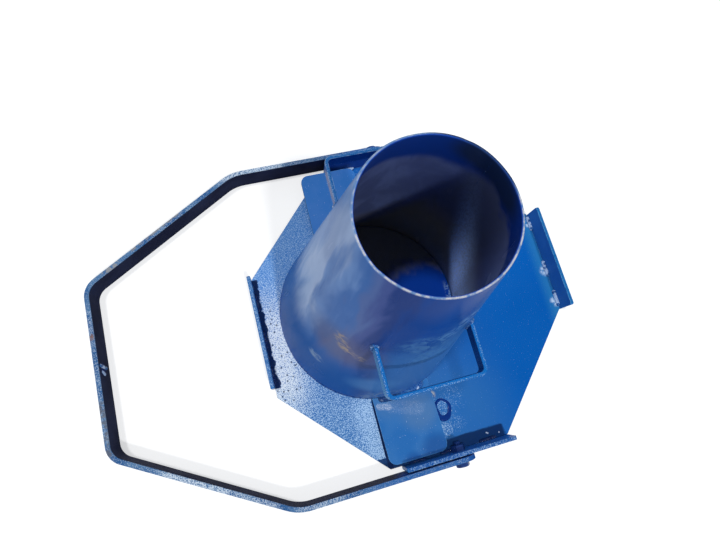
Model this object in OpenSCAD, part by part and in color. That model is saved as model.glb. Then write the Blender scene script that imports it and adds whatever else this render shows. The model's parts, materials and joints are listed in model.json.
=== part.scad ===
// Slump cone on its carrying plate. The rolled steel cone stands loose on a clipped square
// plate with four edge flanges, and a flat bar bail swings over it on two pivot bolts.
// The origin is under the middle of the plate, on the ground. The bail lies towards -X.

/* [Base plate] */
// Side of the square that the plate is cut from
plate_w = 350; // [330:1:420]
// Thickness of the plate
plate_t = 4; // [3:0.5:6]
// Front left corner cut, along the front edge
front_left_cut_x = 100; // [60:1:110]
// Front left corner cut, along the left edge
front_left_cut_y = 103; // [60:1:110]
// Front right corner cut, along the front edge
front_right_cut_x = 112; // [60:1:120]
// Front right corner cut, along the right edge
front_right_cut_y = 120; // [60:1:125]
// Rear right corner cut, along the rear edge
rear_right_cut_x = 110; // [60:1:115]
// Rear right corner cut, along the right edge
rear_right_cut_y = 106; // [60:1:110]
// Rear left corner cut, along the rear edge
rear_left_cut_x = 106; // [60:1:115]
// Rear left corner cut, along the left edge
rear_left_cut_y = 112; // [60:1:115]

/* [Edge flanges] */
// Length of each flange
flange_len = 124; // [90:1:140]
// Height of the flanges
flange_h = 30; // [26:1:45]
// Thickness of the flanges
flange_t = 4; // [3:0.5:8]
// Rounding of the flanges' upper corners
flange_corner_r = 3; // [1:0.5:8]
// Distance that the right flange sits towards the rear of its edge's middle
right_flange_shift = 6; // [0:0.5:10]

/* [Bail] */
// Width of the bail's flat bar
bail_h = 30; // [26:1:40]
// Thickness of the bail's flat bar
bail_t = 5; // [3:0.5:8]
// Length of the front arm, from the pivot to its knee
arm_front = 177; // [150:1:220]
// Length of the rear arm, from the pivot to its knee
arm_rear = 171; // [150:1:220]
// Length of the bail's crossbar along the middle of the bar
crossbar_len = 174; // [140:1:240]
// Radius of the knees between the arms and the slanted runs
knee_r = 45; // [15:1:60]
// Radius of the two bends at the crossbar
crossbar_bend_r = 20; // [10:1:30]
// Room between the cone's rim and the crossbar as the bail swings over
swing_room = 32; // [10:1:80]

/* [Pivots] */
// Diameter of the pivot bolts
bolt_d = 8; // [6:0.5:10]
// Width across the flats of the bolt heads and nuts
hex_w = 13; // [10:0.5:15]
// Height of the bolt heads
head_h = 5.3; // [4:0.1:8]
// Height of the nuts
nut_h = 6.5; // [4:0.1:8]
// Length of bolt that stands out past the nut
bolt_end = 3; // [1:0.5:8]
// Outer diameter of the spacing washers
washer_d = 16; // [14:0.5:22]
// Thickness of the spacing washers
washer_t = 1.6; // [1:0.1:3]

/* [Cone] */
// Inside diameter of the cone's base
cone_base_d = 200; // [180:1:220]
// Inside diameter of the cone's mouth
cone_mouth_d = 100; // [80:1:120]
// Height of the cone
cone_h = 300; // [250:1:350]
// Thickness of the cone's sheet, measured level
cone_wall = 2; // [1.5:0.1:4]
// Room between the cone's base and the left flange
cone_room = 21; // [12:1:40]
// Turn of the seam about the cone's axis, from +X
seam_turn = 30; // [0:1:45]
// Radius of the rounded seam weld
seam_r = 4; // [3:0.5:6]
// Height of the seam weld above the sheet
seam_rise = 1; // [0.5:0.1:2]

/* [Handles] */
// Outer width of each handle
handle_w = 80; // [60:1:100]
// Height of the middle of the handles above the cone's base
handle_rise = 190; // [120:1:230]
// Finger room between the cone and the handle's grip
handle_room = 26; // [22:1:45]
// Width of the handles' flat bar
handle_h = 12; // [8:1:20]
// Thickness of the handles' flat bar
handle_t = 3; // [2:0.5:6]
// Radius of the handles' bends
handle_bend_r = 5; // [3:0.5:10]
// Radius of the weld lump at each handle leg
handle_weld_r = 7.5; // [7:0.5:9]

/* [Foot pieces] */
// Width of each foot piece
foot_w = 66; // [50:1:90]
// Thickness of the foot pieces
foot_t = 4; // [3:0.5:8]
// Rounding of the foot pieces' outer corners
foot_corner_r = 9; // [3:0.5:20]
// Sideways place of the foot pieces from the cone's middle, opposite at front and rear
foot_shift = 9; // [0:0.5:12]
// Upward slope of the foot pieces towards their outer ends, in degrees
foot_slope = 6; // [0:0.5:9]

/* [Welds] */
// Leg of the stitch welds inside the flanges
weld_leg = 3; // [2:0.5:5]
// Straight length of each stitch weld
weld_len = 17; // [10:1:24]
// Leg of the welds between the cone and its foot pieces
foot_weld_leg = 6; // [3:0.5:8]

/* [Clearances] */
// Radial clearance of the holes round the pivot bolts
bore_gap = 0.1; // [0.05:0.05:0.5]
// Side clearance of the bail on its washers and bolt heads
side_gap = 0.3; // [0.1:0.1:1]
// Room between the foot pieces and the stitch welds, and at least this beside the nuts
foot_room = 0.5; // [0.5:0.5:10]

/* [Hidden] */
$fn = 96;

// Turn about the plate's middle that takes the front side to each side
front_side = 0;
right_side = 90;
rear_side = 180;
left_side = -90;

// Places of the stitch welds along each flange, as shares of the run that is free
front_weld_shares = [-0.44, -0.08, 0.38];
right_weld_shares = [-0.48, -0.1, 0.5];
rear_weld_shares = [-0.42, -0.04, 0.34];
left_weld_shares = [-0.34, 0.08, 0.48];
// Part of the foot piece's width that its weld runs along
foot_weld_share = 0.8;
// Part of a hex's flats that the chamfered end circle keeps
chamfer_share = 0.96;
// Slope of the chamfers on bolt heads and nuts
chamfer_slope = 30;
// Flats round each bend of a bar, and round the cone where other pieces are fitted to it
bend_steps = 16;
cone_flats = 360;

// How far cutting shapes run past what they cut
overrun = 1;

half_w = plate_w / 2;
pivot_z = bail_h / 2;
arm_in = half_w + flange_t + washer_t + side_gap;
arm_y = arm_in + bail_t / 2;
head_under = flange_t + washer_t + side_gap + bail_t + side_gap;
weld_run = flange_len - weld_len - 2 * weld_leg;
hex_r = hex_w / 2 / cos(30);

base_r = cone_base_d / 2 + cone_wall;
mouth_r = cone_mouth_d / 2 + cone_wall;
cone_slope = (base_r - mouth_r) / cone_h;
cone_x = base_r + cone_room - half_w;
foot_reach = half_w - weld_leg - foot_room;

// Each foot piece keeps clear of the pivot nut at its side of the plate
shift_limit = -cone_x - foot_w / 2 - hex_r - foot_room;
front_foot_shift = min(foot_shift, shift_limit);
rear_foot_shift = max(foot_shift, -shift_limit);

handle_reach = cone_r(handle_rise) + handle_room + handle_t / 2;
handle_leg_x = (handle_w - handle_t) / 2;

// The far edge of the rim sets how far out the crossbar has to swing
rim_far = max(abs(cone_x - mouth_r), abs(cone_x + mouth_r));
rim_up = plate_t + cone_h - pivot_z;
crossbar_x = norm([rim_far, rim_up]) + swing_room + bail_t / 2;

bail_path = [
  [0, -arm_y],
  [-arm_front, -arm_y],
  [-crossbar_x, -crossbar_len / 2],
  [-crossbar_x, crossbar_len / 2],
  [-arm_rear, arm_y],
  [0, arm_y]
];
bail_bends = [0, knee_r, crossbar_bend_r, crossbar_bend_r, knee_r, 0];

handle_path = [
  [-handle_leg_x, 0],
  [-handle_leg_x, -handle_reach],
  [handle_leg_x, -handle_reach],
  [handle_leg_x, 0]
];
handle_bends = [0, handle_bend_r, handle_bend_r, 0];

plate_paint = [0.06, 0.27, 0.58];
bail_paint = [0.07, 0.20, 0.44];
cone_paint = [0.22, 0.31, 0.56];
weld_paint = [0.10, 0.26, 0.52];

// Outer radius of the cone at a height above its base
function cone_r(z) = base_r - cone_slope * z;

// Direction from one point of a path to the next, and the turn at a corner
function heading(a, b) = atan2(b[1] - a[1], b[0] - a[0]);
function half_turns(a) = a - 360 * round(a / 360);
function turn_at(path, i) = half_turns(heading(path[i], path[i + 1]) - heading(path[i - 1], path[i]));

// Middle of the bend at a corner, and the angle from it at which the bend starts
function bend_middle(path, bends, i) =
  let (a = heading(path[i - 1], path[i]))
  let (turn = turn_at(path, i))
  let (back = bends[i] * tan(abs(turn) / 2))
  let (aside = sign(turn) * bends[i])
  path[i] - back * [cos(a), sin(a)] + aside * [-sin(a), cos(a)];
function bend_start(path, i) = heading(path[i - 1], path[i]) - sign(turn_at(path, i)) * 90;

// One edge of a bent bar, shifted to the left of its path: a square end, then an arc at each corner
function bar_end(path, i, shift) =
  let (a = i == 0 ? heading(path[0], path[1]) : heading(path[i - 1], path[i]))
  path[i] + shift * [-sin(a), cos(a)];
function bar_bend(path, bends, i, shift) = [
  for (k = [0 : bend_steps])
    let (a = bend_start(path, i) + turn_at(path, i) * k / bend_steps)
    let (r = bends[i] - sign(turn_at(path, i)) * shift)
    bend_middle(path, bends, i) + r * [cos(a), sin(a)]
];
function bar_edge(path, bends, shift) = [
  bar_end(path, 0, shift),
  for (i = [1 : len(path) - 2])
    each bar_bend(path, bends, i, shift),
  bar_end(path, len(path) - 1, shift)
];
function backwards(list) = [for (i = [len(list) - 1 : -1 : 0]) list[i]];

// Flat bar on edge, bent along a path of corners with a radius for each
module bent_bar(path, bends, t, h) {
  linear_extrude(h)
    polygon(concat(bar_edge(path, bends, t / 2), backwards(bar_edge(path, bends, -t / 2))));
}

// Frames of the cone, of a pivot looking outwards from the flange's inner face, and of a weld corner
module at_cone() {
  translate([cone_x, 0, plate_t])
    children();
}

module at_pivot(side) {
  rotate(side)
    translate([0, -half_w, pivot_z])
      rotate([90, 0, 0])
        children();
}

module at_corner(side) {
  rotate(side)
    translate([0, -half_w, plate_t])
      children();
}

// Everything inside the cone's outer face, carried on past both ends
module cone_bulk() {
  translate([0, 0, -overrun])
    cylinder(h = cone_h + 2 * overrun, r1 = cone_r(-overrun), r2 = cone_r(cone_h + overrun),
      $fn = cone_flats);
}

module base_plate() {
  color(plate_paint)
    linear_extrude(plate_t)
      polygon([
        [front_left_cut_x - half_w, -half_w],
        [half_w - front_right_cut_x, -half_w],
        [half_w, front_right_cut_y - half_w],
        [half_w, half_w - rear_right_cut_y],
        [half_w - rear_right_cut_x, half_w],
        [rear_left_cut_x - half_w, half_w],
        [-half_w, half_w - rear_left_cut_y],
        [-half_w, front_left_cut_y - half_w]
      ]);
}

// Edge flange: flat bar on edge against the plate's side, with rounded upper corners
module flange(side, shift, bored) {
  straight = flange_len / 2 - flange_corner_r;
  color(plate_paint)
    difference() {
      rotate(side)
        translate([shift, -half_w, 0])
          rotate([90, 0, 0]) {
            translate([-flange_len / 2, 0, 0])
              cube([flange_len, flange_h - flange_corner_r, flange_t]);
            translate([-straight, 0, 0])
              cube([2 * straight, flange_h, flange_t]);
            for (x = [-straight, straight])
              translate([x, flange_h - flange_corner_r, 0])
                cylinder(h = flange_t, r = flange_corner_r);
          }
      if (bored)
        at_pivot(side)
          translate([0, 0, -overrun])
            cylinder(h = flange_t + 2 * overrun, d = bolt_d + 2 * bore_gap);
    }
}

module front_flange() {
  flange(front_side, 0, true);
}

module right_flange() {
  flange(right_side, right_flange_shift, false);
}

module rear_flange() {
  flange(rear_side, 0, true);
}

module left_flange() {
  flange(left_side, 0, false);
}

// Stitch weld: the quarter of a round-ended rod that fills a square corner
module stitch() {
  intersection() {
    union() {
      translate([-weld_len / 2, 0, 0])
        rotate([0, 90, 0])
          cylinder(h = weld_len, r = weld_leg);
      for (x = [-weld_len / 2, weld_len / 2])
        translate([x, 0, 0])
          sphere(weld_leg);
    }
    translate([-weld_len / 2 - weld_leg, 0, 0])
      cube([weld_len + 2 * weld_leg, weld_leg, weld_leg]);
  }
}

module flange_welds(side, shift, shares) {
  color(weld_paint)
    at_corner(side)
      for (share = shares)
        translate([shift + share * weld_run, 0, 0])
          stitch();
}

module front_flange_welds() {
  flange_welds(front_side, 0, front_weld_shares);
}

module right_flange_welds() {
  flange_welds(right_side, right_flange_shift, right_weld_shares);
}

module rear_flange_welds() {
  flange_welds(rear_side, 0, rear_weld_shares);
}

module left_flange_welds() {
  flange_welds(left_side, 0, left_weld_shares);
}

// Hexagon with its outer end chamfered to a circle
module hex_block(h) {
  face_r = chamfer_share * hex_w / 2;
  intersection() {
    cylinder(h = h, r = hex_r, $fn = 6);
    cylinder(h = h, r1 = face_r + h / tan(chamfer_slope), r2 = face_r);
  }
}

module pivot_bolt(side) {
  shank_start = -nut_h - bolt_end;
  color(bail_paint)
    at_pivot(side) {
      translate([0, 0, shank_start])
        cylinder(h = head_under - shank_start, d = bolt_d);
      translate([0, 0, head_under])
        hex_block(head_h);
    }
}

module front_pivot_bolt() {
  pivot_bolt(front_side);
}

module rear_pivot_bolt() {
  pivot_bolt(rear_side);
}

module pivot_nut(side) {
  color(bail_paint)
    at_pivot(side)
      difference() {
        rotate([180, 0, 0])
          hex_block(nut_h);
        translate([0, 0, -nut_h - overrun])
          cylinder(h = nut_h + 2 * overrun, d = bolt_d + 2 * bore_gap);
      }
}

module front_pivot_nut() {
  pivot_nut(front_side);
}

module rear_pivot_nut() {
  pivot_nut(rear_side);
}

module pivot_washer(side) {
  color(bail_paint)
    at_pivot(side)
      translate([0, 0, flange_t])
        difference() {
          cylinder(h = washer_t, d = washer_d);
          translate([0, 0, -overrun])
            cylinder(h = washer_t + 2 * overrun, d = bolt_d + 2 * bore_gap);
        }
}

module front_pivot_washer() {
  pivot_washer(front_side);
}

module rear_pivot_washer() {
  pivot_washer(rear_side);
}

// Bail of flat bar: two arms, two slanted runs and a crossbar, with drilled round ends
module carrying_bail() {
  color(bail_paint)
    difference() {
      union() {
        bent_bar(bail_path, bail_bends, bail_t, bail_h);
        for (side = [front_side, rear_side])
          at_pivot(side)
            translate([0, 0, arm_in - half_w])
              cylinder(h = bail_t, d = bail_h);
      }
      for (side = [front_side, rear_side])
        at_pivot(side)
          translate([0, 0, arm_in - half_w - overrun])
            cylinder(h = bail_t + 2 * overrun, d = bolt_d + 2 * bore_gap);
    }
}

// Open cone of one wall thickness, turned from the section of its sheet
module cone_shell() {
  color(cone_paint)
    at_cone()
      rotate_extrude()
        polygon([
          [base_r - cone_wall, 0],
          [base_r, 0],
          [mouth_r, cone_h],
          [mouth_r - cone_wall, cone_h]
        ]);
}

// Weld ridge that closes the rolled sheet, cut level at the base and the rim
module cone_seam_weld() {
  lean = atan(cone_slope);
  color(cone_paint)
    at_cone()
      rotate(seam_turn)
        difference() {
          intersection() {
            translate([cone_r(0) - seam_r + seam_rise, 0, 0])
              rotate([0, -lean, 0])
                translate([0, 0, -seam_r])
                  cylinder(h = cone_h / cos(lean) + 2 * seam_r, r = seam_r);
            translate([0, -seam_r, 0])
              cube([base_r + seam_r, 2 * seam_r, cone_h]);
          }
          cone_bulk();
        }
}

// Handle of flat bar whose two legs are cut to the cone's face
module handle_bar() {
  translate([0, 0, handle_rise - handle_h / 2])
    bent_bar(handle_path, handle_bends, handle_t, handle_h);
}

module handle(side) {
  color(cone_paint)
    at_cone()
      rotate(side)
        difference() {
          handle_bar();
          cone_bulk();
        }
}

module front_handle() {
  handle(front_side);
}

module rear_handle() {
  handle(rear_side);
}

// Weld lumps where the two legs of a handle meet the cone
module handle_welds(side) {
  leg_y = sqrt(pow(cone_r(handle_rise), 2) - pow(handle_leg_x, 2));
  color(weld_paint)
    at_cone()
      rotate(side)
        difference() {
          for (x = [-handle_leg_x, handle_leg_x])
            translate([x, -leg_y, handle_rise])
              sphere(handle_weld_r);
          handle_bar();
          cone_bulk();
        }
}

module front_handle_welds() {
  handle_welds(front_side);
}

module rear_handle_welds() {
  handle_welds(rear_side);
}

// Tread before it is cut to the cone: rounded outer corners, tipped up from its innermost edge
module tread(shift) {
  corner_x = foot_w / 2 - foot_corner_r;
  root_y = sqrt(pow(cone_r(foot_t), 2) - pow(foot_w / 2 + abs(shift), 2));
  reach = foot_reach - root_y;
  translate([shift, -root_y, 0])
    rotate([-foot_slope, 0, 0]) {
      translate([-foot_w / 2, foot_corner_r - reach, 0])
        cube([foot_w, reach - foot_corner_r + overrun, foot_t]);
      translate([-corner_x, -reach, 0])
        cube([2 * corner_x, reach, foot_t]);
      for (x = [-corner_x, corner_x])
        translate([x, foot_corner_r - reach, 0])
          cylinder(h = foot_t, r = foot_corner_r);
    }
}

// Foot piece: a tread whose inner edge is cut to the cone
module foot(side, shift) {
  color(cone_paint)
    at_cone()
      rotate(side)
        difference() {
          tread(shift);
          cone_bulk();
        }
}

module front_foot() {
  foot(front_side, front_foot_shift);
}

module rear_foot() {
  foot(rear_side, rear_foot_shift);
}

// Weld that runs along the cone on top of a foot piece
module foot_weld(side, shift) {
  seat_r = cone_r(foot_t);
  arc_from = asin((shift - foot_weld_share * foot_w / 2) / seat_r);
  arc_to = asin((shift + foot_weld_share * foot_w / 2) / seat_r);
  color(weld_paint)
    at_cone()
      rotate(side)
        difference() {
          translate([0, 0, foot_t])
            rotate(arc_from - 90)
              rotate_extrude(angle = arc_to - arc_from, $fn = cone_flats)
                translate([seat_r, 0])
                  intersection() {
                    circle(foot_weld_leg);
                    translate([-foot_weld_leg, 0])
                      square([2 * foot_weld_leg, foot_weld_leg]);
                  }
          tread(shift);
          cone_bulk();
        }
}

module front_foot_weld() {
  foot_weld(front_side, front_foot_shift);
}

module rear_foot_weld() {
  foot_weld(rear_side, rear_foot_shift);
}

base_plate();
front_flange();
right_flange();
rear_flange();
left_flange();
front_flange_welds();
right_flange_welds();
rear_flange_welds();
left_flange_welds();
front_pivot_bolt();
rear_pivot_bolt();
front_pivot_nut();
rear_pivot_nut();
front_pivot_washer();
rear_pivot_washer();
carrying_bail();
cone_shell();
cone_seam_weld();
front_handle();
rear_handle();
front_handle_welds();
rear_handle_welds();
front_foot();
rear_foot();
front_foot_weld();
rear_foot_weld();
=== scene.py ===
# %% [markdown]
# # A slump cone on its carrying plate
# A slump cone is an open steel mould for testing fresh concrete. This one stands loose on a
# clipped square plate, and a flat bar bail on two bolts carries the set. The solid model gives
# every size, so this script only dresses it: rounded edges, rolled sheet, weld beads, threads
# and a worn blue enamel. It starts by loading that model.

# %% Load the solid model
import json
import math

import bmesh
import bpy
from mathutils import Matrix, Vector


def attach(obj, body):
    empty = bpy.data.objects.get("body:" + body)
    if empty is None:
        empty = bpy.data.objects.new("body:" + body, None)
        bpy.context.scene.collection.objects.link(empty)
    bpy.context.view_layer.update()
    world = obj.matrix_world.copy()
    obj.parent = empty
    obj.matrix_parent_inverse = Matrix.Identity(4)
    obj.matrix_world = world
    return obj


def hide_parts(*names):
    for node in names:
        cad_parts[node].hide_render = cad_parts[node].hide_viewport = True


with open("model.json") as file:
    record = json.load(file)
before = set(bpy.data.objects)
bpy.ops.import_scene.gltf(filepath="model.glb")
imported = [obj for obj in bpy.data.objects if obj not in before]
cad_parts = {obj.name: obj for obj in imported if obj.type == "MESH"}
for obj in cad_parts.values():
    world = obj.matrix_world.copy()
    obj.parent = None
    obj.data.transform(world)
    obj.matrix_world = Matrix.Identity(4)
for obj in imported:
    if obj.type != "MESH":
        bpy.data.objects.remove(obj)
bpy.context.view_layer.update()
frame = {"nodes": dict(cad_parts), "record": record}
MM = 0.001

# %% [markdown]
# ## The camera
# The picture was taken by hand from close above the cone. A lens and a viewpoint were fitted
# to the rim, the base circle and the plate's edges, and the camera's own axes are written here
# as three rows. Setting the matrix directly avoids any rounding through angles. One helper
# puts the camera, and later every lamp and piece, into the scene.

# %% Camera
scene = bpy.context.scene


def new_piece(name, data):
    piece = bpy.data.objects.new(name, data)
    scene.collection.objects.link(piece)
    return piece


VIEWPOINT = (-0.155084, -0.084317, 0.567838)
RIGHT = (0.959516, -0.255452, 0.118634)
UP = (0.218574, 0.940992, 0.258378)
BACK = (-0.177637, -0.221987, 0.958732)

lens = bpy.data.cameras.new("view_from_above")
lens.sensor_width = 36
lens.lens = 24.986
lens.clip_start = 0.01
camera = new_piece("view_from_above", lens)
camera.matrix_world = Matrix([(*axes, at) for *axes, at in zip(RIGHT, UP, BACK, VIEWPOINT)]
                             + [(0, 0, 0, 1)])
scene.camera = camera
scene.view_settings.view_transform = "Standard"
print("camera height in mm:", round(camera.location.z / MM))

# %% [markdown]
# ## Small helpers for node trees
# Shader trees and geometry trees are built the same way: make a node, set its options, and
# either type a value into an input or link another node's output to it. One call does all
# three, which keeps the recipes below short enough to read.

# %% Node helpers
def fill_inputs(tree, node, values):
    for key, value in values.items():
        if isinstance(value, bpy.types.NodeSocket):
            tree.links.new(value, node.inputs[key])
        else:
            node.inputs[key].default_value = value


def add_node(tree, kind, inputs=None, **options):
    made = tree.nodes.new(kind)
    for option, value in options.items():
        setattr(made, option, value)
    fill_inputs(tree, made, inputs or {})
    return made


def empty_tree(owner):
    owner.use_nodes = True
    owner.node_tree.nodes.clear()
    return owner.node_tree


def math_node(tree, operation, first, second=0.0, clamp=False):
    made = add_node(tree, "ShaderNodeMath", {0: first, 1: second}, operation=operation)
    made.use_clamp = clamp
    return made.outputs[0]


# %% [markdown]
# ## Floor, sky and lights
# The set stands on a pale floor. A key light from the front draws the flanges' shadows, a second
# one from the left reaches down into the cone, and a weak sky fills the rest. The sky and the
# floor look white to the camera and in reflections, but they light the object at a plain level.
# Part of the floor's white is its own glow, so a soft shadow stays on it.

# %% Sky
def seen_directly(tree):
    path = add_node(tree, "ShaderNodeLightPath").outputs
    either = math_node(tree, "MAXIMUM", path["Is Camera Ray"], path["Is Glossy Ray"])
    return math_node(tree, "MAXIMUM", either, path["Is Transmission Ray"])


sky = bpy.data.worlds.new("soft_sky")
scene.world = sky
sky_nodes = empty_tree(sky)
SKY_TINT, SKY_FILL = (0.86, 0.93, 1, 1), 0.33
fill = add_node(sky_nodes, "ShaderNodeBackground", {"Color": SKY_TINT, "Strength": SKY_FILL})
white = add_node(sky_nodes, "ShaderNodeBackground", {"Color": (1, 1, 1, 1), "Strength": 1.0})
sky_mix = add_node(sky_nodes, "ShaderNodeMixShader",
                   {0: seen_directly(sky_nodes), 1: fill.outputs[0], 2: white.outputs[0]})
add_node(sky_nodes, "ShaderNodeOutputWorld", {"Surface": sky_mix.outputs[0]})

# %% Floor
FLOOR_HALF, FLOOR_DROP, FLOOR_GLOW = 4.0, 0.2 * MM, 0.58
floor_mesh = bpy.data.meshes.new("pale_floor")
corners = [(x * FLOOR_HALF, y * FLOOR_HALF, -FLOOR_DROP) for x, y in ((-1, -1), (1, -1), (1, 1), (-1, 1))]
floor_mesh.from_pydata(corners, [], [(0, 1, 2, 3)])
floor = new_piece("pale_floor", floor_mesh)
floor_paint = bpy.data.materials.new("pale_floor")
floor_nodes = empty_tree(floor_paint)
grey = add_node(floor_nodes, "ShaderNodeBsdfDiffuse", {"Color": (0.55, 0.55, 0.55, 1)})
glow = add_node(floor_nodes, "ShaderNodeEmission", {"Color": (1, 1, 1, 1), "Strength": FLOOR_GLOW})
shown = add_node(floor_nodes, "ShaderNodeAddShader", {0: grey.outputs[0], 1: glow.outputs[0]})
floor_mix = add_node(floor_nodes, "ShaderNodeMixShader",
                     {0: seen_directly(floor_nodes), 1: grey.outputs[0], 2: shown.outputs[0]})
add_node(floor_nodes, "ShaderNodeOutputMaterial", {"Surface": floor_mix.outputs[0]})
floor_mesh.materials.append(floor_paint)

# %% Lights
def far_light(name, towards, energy, spread_degrees):
    lamp = bpy.data.lights.new(name, "SUN")
    lamp.energy = energy
    lamp.angle = math.radians(spread_degrees)
    new_piece(name, lamp).rotation_euler = (-Vector(towards)).to_track_quat("-Z", "Y").to_euler()
    lean = Vector(towards).angle(Vector((0, 0, 1)))
    print(name, "stands", round(math.degrees(lean)), "degrees off the vertical")


far_light("key_light", (0.12, -0.52, 1.0), 1.1, 3.5)
far_light("side_light", (-0.21, 0.065, 1.0), 1.2, 5)

# %% [markdown]
# ## Building blocks for the enamel
# Every surface here is the same brushed and sprayed blue enamel, but each piece has aged in
# its own way, and many pieces also carry painted light and shade. The blocks below are what all
# the recipes share: noise and flecks of a given grain size, soft steps and zones, coats of
# colour, a ramp through many colours, round patches, smears along a line, and scattered dots.
# They all read Object coordinates, so a finish stays on its piece when the piece moves.

# %% Enamel blocks
class Finish:
    """A material under construction, with the blocks that the recipes use."""

    def __init__(self, name, specular):
        self.material = bpy.data.materials.new(name)
        self.tree = empty_tree(self.material)
        self.shader = add_node(self.tree, "ShaderNodeBsdfPrincipled", {"Specular IOR Level": specular})
        add_node(self.tree, "ShaderNodeOutputMaterial", {"Surface": self.shader.outputs[0]})
        self.place = add_node(self.tree, "ShaderNodeTexCoord").outputs["Object"]
        self.x, self.y, self.z = add_node(self.tree, "ShaderNodeSeparateXYZ", {0: self.place}).outputs

    def chain(self, operation, values):
        result, *others = values
        for other in others:
            result = math_node(self.tree, operation, result, other)
        return result

    def times(self, *values):
        return self.chain("MULTIPLY", values)

    def plus(self, *values):
        return self.chain("ADD", values)

    def most(self, *values):
        return self.chain("MAXIMUM", values)

    def scaled(self, value, gain, base):
        return self.plus(self.times(value, gain), base)

    def swing(self, noise, size):
        return self.times(self.plus(noise, -0.5), size)

    def step(self, value, low, high):
        rising = low < high
        made = add_node(self.tree, "ShaderNodeMapRange",
                        {0: value, 1: min(low, high), 2: max(low, high), 3: 0 if rising else 1,
                         4: 1 if rising else 0}, interpolation_type="SMOOTHSTEP")
        return made.outputs[0]

    def edge(self, value, start_mm, end_mm):
        return self.step(value, start_mm * MM, end_mm * MM)

    def zone(self, **spans):
        """Fade in past an edge, from its start to its end in mm, on each axis that is named."""
        return self.times(*(self.edge(getattr(self, axis), *span) for axis, span in spans.items()))

    def noise(self, grain_mm, detail=2, warp=0, stretch=(1, 1, 1)):
        where = self.place
        if stretch != (1, 1, 1):
            stretched = add_node(self.tree, "ShaderNodeMapping", {"Vector": where, "Scale": stretch})
            where = stretched.outputs[0]
        inputs = {"Vector": where, "Scale": 1 / (grain_mm * MM), "Detail": detail, "Distortion": warp}
        return add_node(self.tree, "ShaderNodeTexNoise", inputs).outputs[0]

    def flecks(self, grain_mm, low, high, *noise_options):
        return self.step(self.noise(grain_mm, *noise_options), low, high)

    def blend(self, amount, first, second):
        first, second = ((*shade, 1) if isinstance(shade, tuple) else shade for shade in (first, second))
        made = add_node(self.tree, "ShaderNodeMix", {0: amount, 6: first, 7: second}, data_type="RGBA")
        return made.outputs[2]

    def coat(self, under, shade, share, *masks):
        """Lay a shade over a colour, as thick as its share, where all the masks agree."""
        return self.blend(self.times(*masks, share), under, shade)

    def vector(self, operation, first, second, output="Value"):
        made = add_node(self.tree, "ShaderNodeVectorMath", {0: first, 1: second}, operation=operation)
        return made.outputs[output]

    def gap(self, point_mm):
        return self.vector("DISTANCE", self.place, Vector(point_mm) * MM)

    def patch(self, centre_mm, radius_mm, soft_mm):
        return self.edge(self.gap(centre_mm), radius_mm + soft_mm, radius_mm)

    def smear(self, start_mm, end_mm, radius_mm, soft_mm):
        start, run = Vector(start_mm) * MM, (Vector(end_mm) - Vector(start_mm)) * MM
        off = self.vector("SUBTRACT", self.place, start, "Vector")
        along = self.vector("DOT_PRODUCT", off, run / run.length_squared)
        share = math_node(self.tree, "MULTIPLY", along, 1, clamp=True)
        nearest = add_node(self.tree, "ShaderNodeVectorMath", {0: run, "Scale": share}, operation="SCALE")
        gap = self.vector("DISTANCE", off, nearest.outputs[0])
        return self.edge(gap, radius_mm + soft_mm, radius_mm)

    def dots(self, spacing_mm, size):
        cells = add_node(self.tree, "ShaderNodeTexVoronoi",
                         {"Vector": self.place, "Scale": 1 / (spacing_mm * MM)})
        return self.step(cells.outputs["Distance"], size * 1.3, size)

    def ramp(self, value, stops):
        made = add_node(self.tree, "ShaderNodeValToRGB", {0: value})
        bands = made.color_ramp
        bands.interpolation = "EASE"
        while len(bands.elements) < len(stops):
            bands.elements.new(0.5)
        for band, (share, colour) in zip(bands.elements, stops):
            band.position = share
            band.color = (*colour, 1)
        return made.outputs[0]

    def mark(self, name):
        return add_node(self.tree, "ShaderNodeAttribute", attribute_name=name).outputs["Fac"]

    def done(self, colour, roughness, height, relief_mm):
        relief = add_node(self.tree, "ShaderNodeBump",
                          {"Strength": 1, "Distance": relief_mm * MM, "Height": height})
        fill_inputs(self.tree, self.shader,
                    {"Base Color": colour, "Roughness": roughness, "Normal": relief.outputs[0]})
        print("finish:", self.material.name)
        return self.material


# %% [markdown]
# ## Dust and painted glints on the plate
# The plate was sprayed flat and the paint dried with a coarse, pebbled skin. On the left and
# at the front left the pebbles are painted almost white, partly for cement dust and partly as
# painted glints of light on them. Slow ramps over the plate say how many of the pebbles are
# pale, and a few round splashes add to them.

# %% Plate dust and painted glints
BESIDE_FOOT = ((-84, -110, 4), (-78, -172, 4), 3, 22)
SPLASHES = (
    ((-4, -151, 4), 5, 8, 0.85), ((8, -146, 4), 5, 14, 0.5),
    ((-2, -129, 4), 6, 14, 0.7), ((12, -120, 4), 8, 14, 0.45))


def plate_dust_and_glints(paint):
    # pale pebbles: cement dust and painted glints, denser at the left and front left
    dust_and_glint = paint.times(paint.zone(x=(10, -70)), paint.scaled(paint.zone(y=(130, 0)), 0.14, 0.8))
    dust_and_glint = paint.plus(dust_and_glint, paint.times(paint.smear(*BESIDE_FOOT), 0.38))
    splashes = [paint.times(paint.patch(centre, size, soft), amount)
                for centre, size, soft, amount in SPLASHES]
    left = paint.times(paint.zone(x=(-125, -160), y=(75, -10)), paint.zone(y=(-120, -55)))
    return paint.most(dust_and_glint, *splashes), left


# %% [markdown]
# ## Painted shade and blues of the plate
# Along the left and front flanges and beside the foot pieces the plate is painted dark as
# shade, and a noise makes the border of that painted shade ragged. Elsewhere the blue changes
# slowly: it is strong towards the right, and at the rear left it is painted paler, as painted
# light where the cone's shadow falls. Soft zones along the axes do both.

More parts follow.
